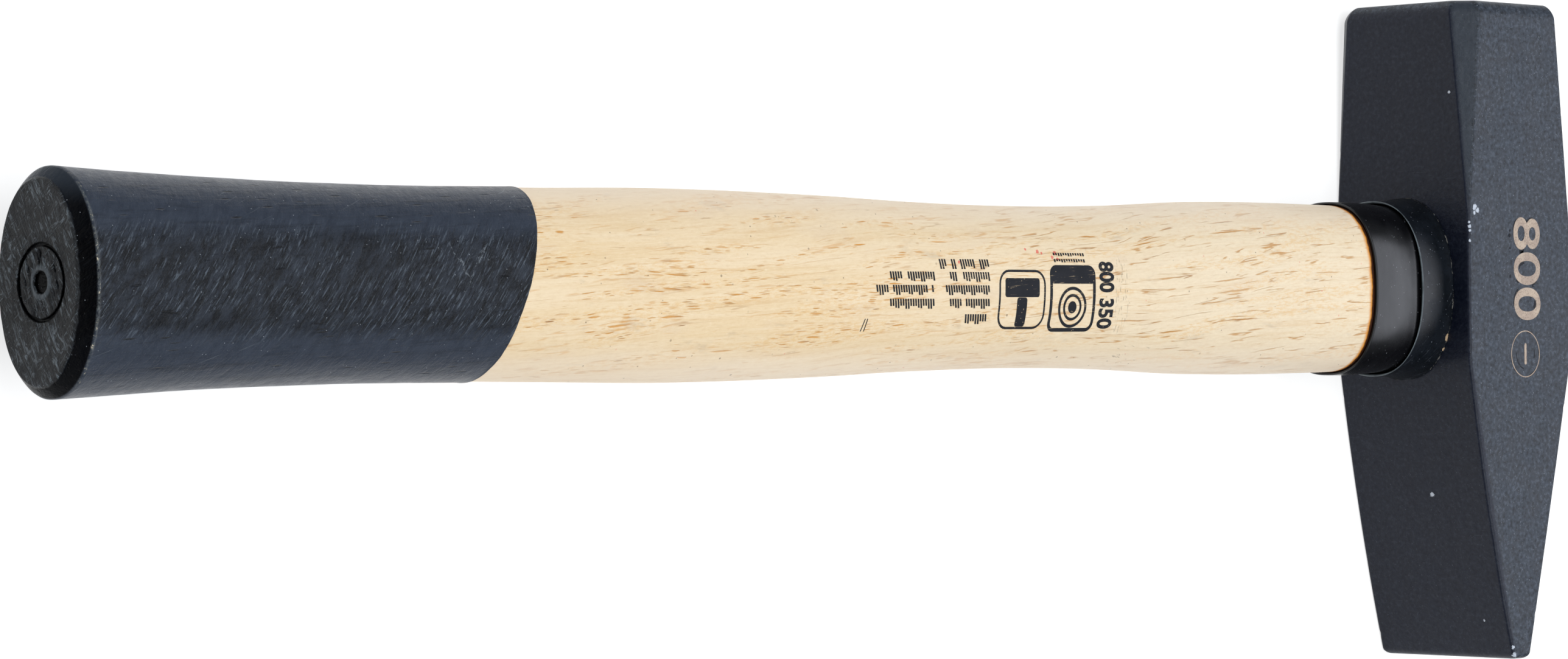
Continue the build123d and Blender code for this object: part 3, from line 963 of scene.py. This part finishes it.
def butt_rings(angles):
    """The butt's end face in rings, from the centre hole out to the edge of the flat."""
    bore = CENTRE_HOLE_RADIUS
    hole = [(0.25, 3.2), (0.9, 3.2), (1.35, 2.9), (bore - 0.08, 1.5), (bore, 0.35)]
    raised = [(bore + 0.12, 0.02), (1.95, -0.1), (2.25, -0.08), (2.55, 0.05), (2.8, 0.1)]
    inner = [(r, 0.1) for r in np.linspace(3.0, RING_MARK_RADIUS - 0.45, 14)]
    cut_in = ((-0.3, 0.12), (-0.2, 0.4), (-0.08, 0.62), (0.08, 0.62), (0.2, 0.4), (0.32, 0.1))
    groove = [(RING_MARK_RADIUS + r, d) for r, d in cut_in]
    round_to = 6.9  # rings are circles up to this radius, then more and more oval
    outer = [(r, 0.08) for r in np.linspace(RING_MARK_RADIUS + 0.45, round_to, 5)]
    rings = []
    for radius, depth in hole + raised + inner + groove + outer:
        y, z = radius * np.cos(angles), radius * np.sin(angles)
        rings.append(ring_at(butt_x + 0.12 + depth, y, z))
    edge_y, edge_z = oval(FLAT_Y, FLAT_Z, BUTT_POWER, angles)
    for t in np.linspace(0, 1, 34)[1:]:
        y = round_to * np.cos(angles) * (1 - t) + edge_y[0] * t
        z = round_to * np.sin(angles) * (1 - t) + (edge_z[0] - FLAT_DROP) * t
        rings.append(ring_at(butt_x + 0.2 - 0.06 * t, y, z))
    rings = np.array(rings)
    inland = np.clip((34 - np.abs(np.arange(len(rings)) - 12)) / 26, 0.15, 1)[:, None]
    fibres = rings @ np.array([[1, 0, 0], [0, 0.45, 0.9], [0, -0.35, 2.4]])
    lumps = 0.22 * rough(fibres, 2.2, 4, seed=6) + 0.12 * rough(rings, 2.5, 4, seed=7)
    away = np.clip((np.hypot(rings[..., 1], rings[..., 2]) - 1.5) / 0.8, 0, 1)
    rings[..., 0] += np.clip(lumps, -0.12, 0.4) * away * inland
    rings[..., 0] = np.maximum(rings[..., 0], butt_x + 0.02)
    return rings + np.array([0.0, axis_y, axis_z])


def make_coating(paint):
    """The lacquer skin: the butt face, its bevel, the grip, the slanted edge and the way back inside."""
    angles = turns(216)
    face = butt_rings(angles)
    bevel = []
    rim_x, rim_y, rim_z, power = GRIP[0]
    flat_x = face[-1][:, 0].mean()
    for t in np.linspace(0, 1, 10)[1:-1]:
        round_off = 0.12 * sin(pi * t)
        half_y = FLAT_Y + (rim_y - FLAT_Y) * t + round_off
        half_z = FLAT_Z + (rim_z - FLAT_Z) * t + round_off
        y, z = oval(half_y, half_z, power, angles)
        middle_z = axis_z - FLAT_DROP * (1 - t)
        bevel.append(ring_at(flat_x + (rim_x - flat_x) * t, axis_y + y[0], middle_z + z[0]))

    # Each point of a ring reaches its own x, so that the last ring lies on the slanted edge
    edge_y, _ = oval(16.1, 11.45, power, angles)
    drip = rough(np.stack([np.cos(angles) * 12, np.sin(angles) * 12, angles * 0], axis=-1), 3.0, 3, seed=8)
    edge_x = LACQUER_EDGE_X + LACQUER_EDGE_SLOPE * edge_y[0] + 0.16 * drip
    side = [skin_ring(rim_x + (edge_x - rim_x) * t, angles, 0.0) for t in np.linspace(0, 1, 150)]
    rolled = ((0.1, -0.03), (0.2, -0.1), (0.26, -0.2))
    lip = [skin_ring(edge_x + ahead, angles, drop) for ahead, drop in rolled]
    inside = [skin_ring(rim_x + (edge_x - rim_x) * t, angles, -COAT + 0.01) for t in np.linspace(1, 0, 60)]
    back_y, back_z = oval(FLAT_Y - COAT, FLAT_Z - COAT, power, angles)
    back = ring_at(butt_x + 0.55, axis_y + back_y[0], axis_z + back_z[0])

    outside = np.array(side)
    stretched = outside * np.array([0.3, 1.0, 1.0])
    pull = 0.05 * rough(stretched, 5.0, seed=9) + 0.02 * rough(stretched, 1.6, seed=10) - 0.05
    outside = outside + away_from_axis(outside) * pull[..., None]
    rings = np.concatenate([face, np.array(bevel), outside, np.array(lip), np.array(inside), back[None]])
    add_piece("dipped_grip", ring_mesh("dipped_grip", rings), [paint], "grip_lacquer", "grip_coating")


def skin_ring(x, angles, grow):
    """One ring of the lacquer, with its own x at every angle."""
    stations = GRIP + [(s[0], s[1] + COAT, s[2] + COAT, s[3]) for s in BARE]
    half_y, half_z, power = profile(stations, x)
    reach = (np.abs(np.cos(angles)) ** power + np.abs(np.sin(angles)) ** power) ** (1 / power)
    y = (half_y + grow) * np.cos(angles) / reach
    z = (half_z + grow) * np.sin(angles) / reach
    return ring_at(x, axis_y + y, axis_z + z)


def tube(outer, bore, lip_radius, angles, steps):
    """A closed tube between an outer and a bore profile, with a rounded lip at its low-x end."""
    start, end = outer[0][0], outer[-1][0]
    outside = oval_rings(outer, np.linspace(end, start + lip_radius, steps), angles)
    lip = []
    for angle in np.linspace(0, pi, 9)[1:-1]:
        ahead = start + lip_radius * (1 - sin(angle))
        outer_ring = oval_rings(outer, [ahead], angles)
        bore_ring = oval_rings(bore, [ahead], angles)
        lip.append(outer_ring + (bore_ring - outer_ring) * (1 - cos(angle)) / 2)
    inside = oval_rings(bore, np.linspace(start + lip_radius, end, steps // 2), angles)
    return np.concatenate([outside] + lip + [inside])


def make_sleeve(paint):
    angles = turns(192)
    bore = [(x, half_y - SLEEVE_WALL, half_z - SLEEVE_WALL, power) for x, half_y, half_z, power in SLEEVE]
    rings = tube(SLEEVE, bore, lip_radius=0.3, angles=angles, steps=60)
    mesh = ring_mesh("neck_sleeve", rings, closed=True)
    add_piece("neck_sleeve", mesh, [paint], "black_sleeve_steel", "sleeve")


def make_collar(paint):
    angles = turns(192)
    rings = tube(COLLAR, COLLAR_BORE, lip_radius=0.22, angles=angles, steps=50)
    foot_length = 0.8  # the edge against the head is ragged
    bore_reach = 12.2  # the bore lies within this radius at the narrow sides
    foot = np.clip((rings[..., 0] - (seat_x - foot_length)) / foot_length, 0, 1)
    ragged = 0.22 * rough(rings, 1.6, 3, seed=11) - 0.1
    outside = np.linalg.norm(rings[..., 1:] - np.array([axis_y, axis_z]), axis=-1) > bore_reach
    rings = rings + away_from_axis(rings) * (foot * outside * ragged)[..., None]
    mesh = ring_mesh("flared_collar", rings, closed=True)
    add_piece("flared_collar", mesh, [paint], "black_collar_steel", "collar")


# ---------------------------------------------------------------- etched and printed marks

def loop_ring(shape, outer, inner):
    """Faces between two loops of points in the XY plane."""
    outer_points = [shape.verts.new((x, y, 0.0)) for x, y in outer]
    inner_points = [shape.verts.new((x, y, 0.0)) for x, y in inner]
    for k in range(len(outer)):
        after = (k + 1) % len(outer)
        shape.faces.new((outer_points[k], outer_points[after], inner_points[after], inner_points[k]))


def patch(shape, outline):
    shape.faces.new([shape.verts.new((x, y, 0.0)) for x, y in outline])


def rounded(cx, cy, width, height, radius, corner_points=6):
    """The outline of a rounded rectangle."""
    points = []
    for k, (sx, sy) in enumerate(((1, 1), (-1, 1), (-1, -1), (1, -1))):
        for step in range(corner_points + 1):
            angle = (k + step / corner_points) * pi / 2
            points.append((
                cx + sx * (width / 2 - radius) + radius * cos(angle),
                cy + sy * (height / 2 - radius) + radius * sin(angle),
            ))
    return points


def circle(cx, cy, radius, points=48):
    return [(cx + radius * cos(a), cy + radius * sin(a)) for a in turns(points)]


def frame_shape(shape, cx, cy, width, height, radius, line):
    outer = rounded(cx, cy, width, height, radius)
    loop_ring(shape, outer, rounded(cx, cy, width - 2 * line, height - 2 * line, radius - line))


def numerals(shape, text, cx, cy, height, length, turn, weight):
    """Plain figures, fitted to a box of length by height round a centre, and turned."""
    curve = bpy.data.curves.new("figures", "FONT")
    curve.body = text
    curve.offset = weight
    holder = in_scene("figures", curve)
    mesh = bpy.data.meshes.new_from_object(holder)
    bpy.data.objects.remove(holder)
    points = np.array([v.co[:] for v in mesh.vertices])
    low, high = points.min(axis=0), points.max(axis=0)
    scale = np.array([length / (high[0] - low[0]), height / (high[1] - low[1]), 0])
    scaled = (points - (low + high) / 2) * scale
    c, s = cos(radians(turn)), sin(radians(turn))
    made = [shape.verts.new((cx + c * x - s * y, cy + s * x + c * y, 0.0)) for x, y, _ in scaled]
    for polygon in mesh.polygons:
        shape.faces.new([made[k] for k in polygon.vertices])
    bmesh.ops.remove_doubles(shape, verts=made, dist=height / 300)


def lay_on(shape, name, height_at, thickness, spacing):
    """Cuts the flat shapes into strips and lays them on a surface, as one thin closed mesh."""
    xs = [v.co.x for v in shape.verts]
    ys = [v.co.y for v in shape.verts]
    for axis, low, high in (((1, 0, 0), min(xs), max(xs)), ((0, 1, 0), min(ys), max(ys))):
        for place in np.arange(low + spacing, high, spacing):
            everything = shape.verts[:] + shape.edges[:] + shape.faces[:]
            point = tuple(place * c for c in axis)
            bmesh.ops.bisect_plane(shape, geom=everything, dist=1e-5, plane_co=point, plane_no=axis)
    bmesh.ops.remove_doubles(shape, verts=shape.verts, dist=1e-4)
    for face in shape.faces:
        if face.normal.z < 0:
            face.normal_flip()
    top = np.array([v.co[:] for v in shape.verts])
    top[:, 2] = height_at(top[:, 0], top[:, 1])
    for vertex, point in zip(shape.verts, top):
        vertex.co = point
    grown = bmesh.ops.extrude_face_region(shape, geom=shape.faces[:])
    for item in grown["geom"]:
        if isinstance(item, bmesh.types.BMVert):
            item.co.z += thickness
    mesh = bpy.data.meshes.new(name)
    bmesh.ops.recalc_face_normals(shape, faces=shape.faces)
    for vertex in shape.verts:
        vertex.co *= MM
    shape.to_mesh(mesh)
    shape.free()
    return mesh


WEIGHT_CLASS = "800"


def make_cheek_marks(bronze, dark):
    """A weight figure and a plain ring, etched into the upper cheek, with a dark outline."""
    ring_x, ring_y = seat_x + 17.9, -4.7
    shape = bmesh.new()
    numerals(shape, WEIGHT_CLASS, seat_x + 18.7, 12.2, height=9.0, length=20.8, turn=-90, weight=0.05)
    for edge in range(16):
        patch(shape, rounded(seat_x + 13.3, 2.6 + edge * 1.15, 0.5, 0.75, 0.15, 2))
    loop_ring(shape, circle(ring_x, ring_y, 4.8), circle(ring_x, ring_y, 4.3))
    loop_ring(shape, circle(ring_x, ring_y, 3.1), circle(ring_x, ring_y, 2.8))
    mesh = lay_on(shape, "etched_outline", lambda x, y: cheek_z - 0.085, thickness=0.04, spacing=2.0)
    add_piece("etched_outline", mesh, [dark], "wedge_steel")

    shape = bmesh.new()
    numerals(shape, WEIGHT_CLASS, seat_x + 18.7, 12.2, height=8.6, length=20.4, turn=-90, weight=0.012)
    loop_ring(shape, circle(ring_x, ring_y, 4.65), circle(ring_x, ring_y, 4.45))
    patch(shape, rounded(ring_x, ring_y, 0.7, 4.2, 0.3, 3))
    mesh = lay_on(shape, "etched_marks", lambda x, y: cheek_z - 0.06, thickness=0.045, spacing=2.0)
    add_piece("etched_marks", mesh, [bronze], "wedge_steel")


def handle_top(x, y):
    half_y, half_z, power = profile(wood_stations(), x)
    across = np.clip(np.abs(y - axis_y) / half_y, 0, 0.999)
    return axis_z + half_z * (1 - across**power) ** (1 / power)


TICK_PITCH, TICK_WIDTH, TICK_LEAN = 0.64, 0.4, 0.16


def tick_row(shape, y, start, end, height):
    """A row of slanting ticks, in uneven heights, where a line of print would be."""
    heights = (1.0, 0.72, 0.72, 0.95, 0.7, 1.0, 0.74, 0.9, 0.7)
    place = start
    for count in range(int((end - start) / TICK_PITCH)):
        tall = height * heights[(count * 5 + int(y * 3)) % len(heights)]
        low, high = y + height / 2 - tall, y + height / 2
        foot, top = place + TICK_LEAN * tall, place
        patch(shape, [(foot, low), (foot + TICK_WIDTH, low), (top + TICK_WIDTH, high), (top, high)])
        place += TICK_PITCH


def make_print(paint):
    """Ink on the upper side of the handle: rows of ticks, two simple pictograms and two sizes."""
    shape = bmesh.new()
    rows = [
        (12.2, [(3.5, 5.6), (6.6, 7.9), (8.9, 13.2), (13.9, 16.6)]),
        (9.95, [(-9.3, -5.6), (-4.8, 2.3), (6.0, 8.4), (9.4, 16.6)]),
        (7.6, [(-12.8, -9.6), (-8.6, 0.6), (1.3, 2.3), (4.9, 16.6)]),
        (5.2, [(-9.3, 2.3), (6.0, 9.4), (10.1, 16.6)]),
        (2.5, [(10.3, 16.4)]),
    ]
    for y, words in rows:
        for start, end in words:
            tick_row(shape, y, start, end, 1.75)
    for y in (13.0, 14.1):
        tick_row(shape, y, 33.6, 42.0, 0.6)
    for start, end in ((-15.8, -15.1), (-15.0, -14.5)):
        patch(shape, [(start, 0.4), (start + 0.2, 0.4), (end + 0.2, 2.6), (end, 2.6)])

    # Pictogram one: a hammer in a rounded frame
    frame_shape(shape, 24.9, 6.0, 12.2, 10.6, 2.6, 0.42)
    patch(shape, rounded(24.9, 8.1, 9.0, 3.4, 0.5, 4))
    patch(shape, rounded(24.9, 3.75, 2.6, 5.2, 0.5, 4))

    # Pictogram two: the rings of a tree in a rounded frame, under a solid band
    frame_shape(shape, 38.2, 6.2, 12.0, 12.0, 1.7, 0.68)
    patch(shape, rounded(38.2, 10.3, 10.9, 2.9, 0.4, 3))
    for radius, line in ((3.7, 0.55), (2.4, 0.5)):
        loop_ring(shape, circle(38.2, 4.6, radius), circle(38.2, 4.6, radius - line))
    patch(shape, circle(38.2, 4.6, 1.1, 24))

    numerals(shape, WEIGHT_CLASS + " 350", 47.2, 6.8, height=3.9, length=12.2, turn=-90, weight=0.035)
    mesh = lay_on(shape, "printed_marks", handle_top, thickness=0.03, spacing=0.8)
    add_piece("printed_marks", mesh, [paint], "grip_lacquer")


# ---------------------------------------------------------------- scene

make_camera()
make_studio()
make_head(head_paint())
make_handle(wood_paint(), end_grain_paint())
make_coating(lacquer_paint())
make_sleeve(sleeve_paint())
make_collar(collar_paint())
make_cheek_marks(etched_paint(), ink_paint())
make_print(ink_paint())

for node, material in (("wooden_wedge", end_grain_paint()), ("ring_wedge", bare_steel_paint())):
    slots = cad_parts[node].data.materials
    slots.clear()
    slots.append(material)
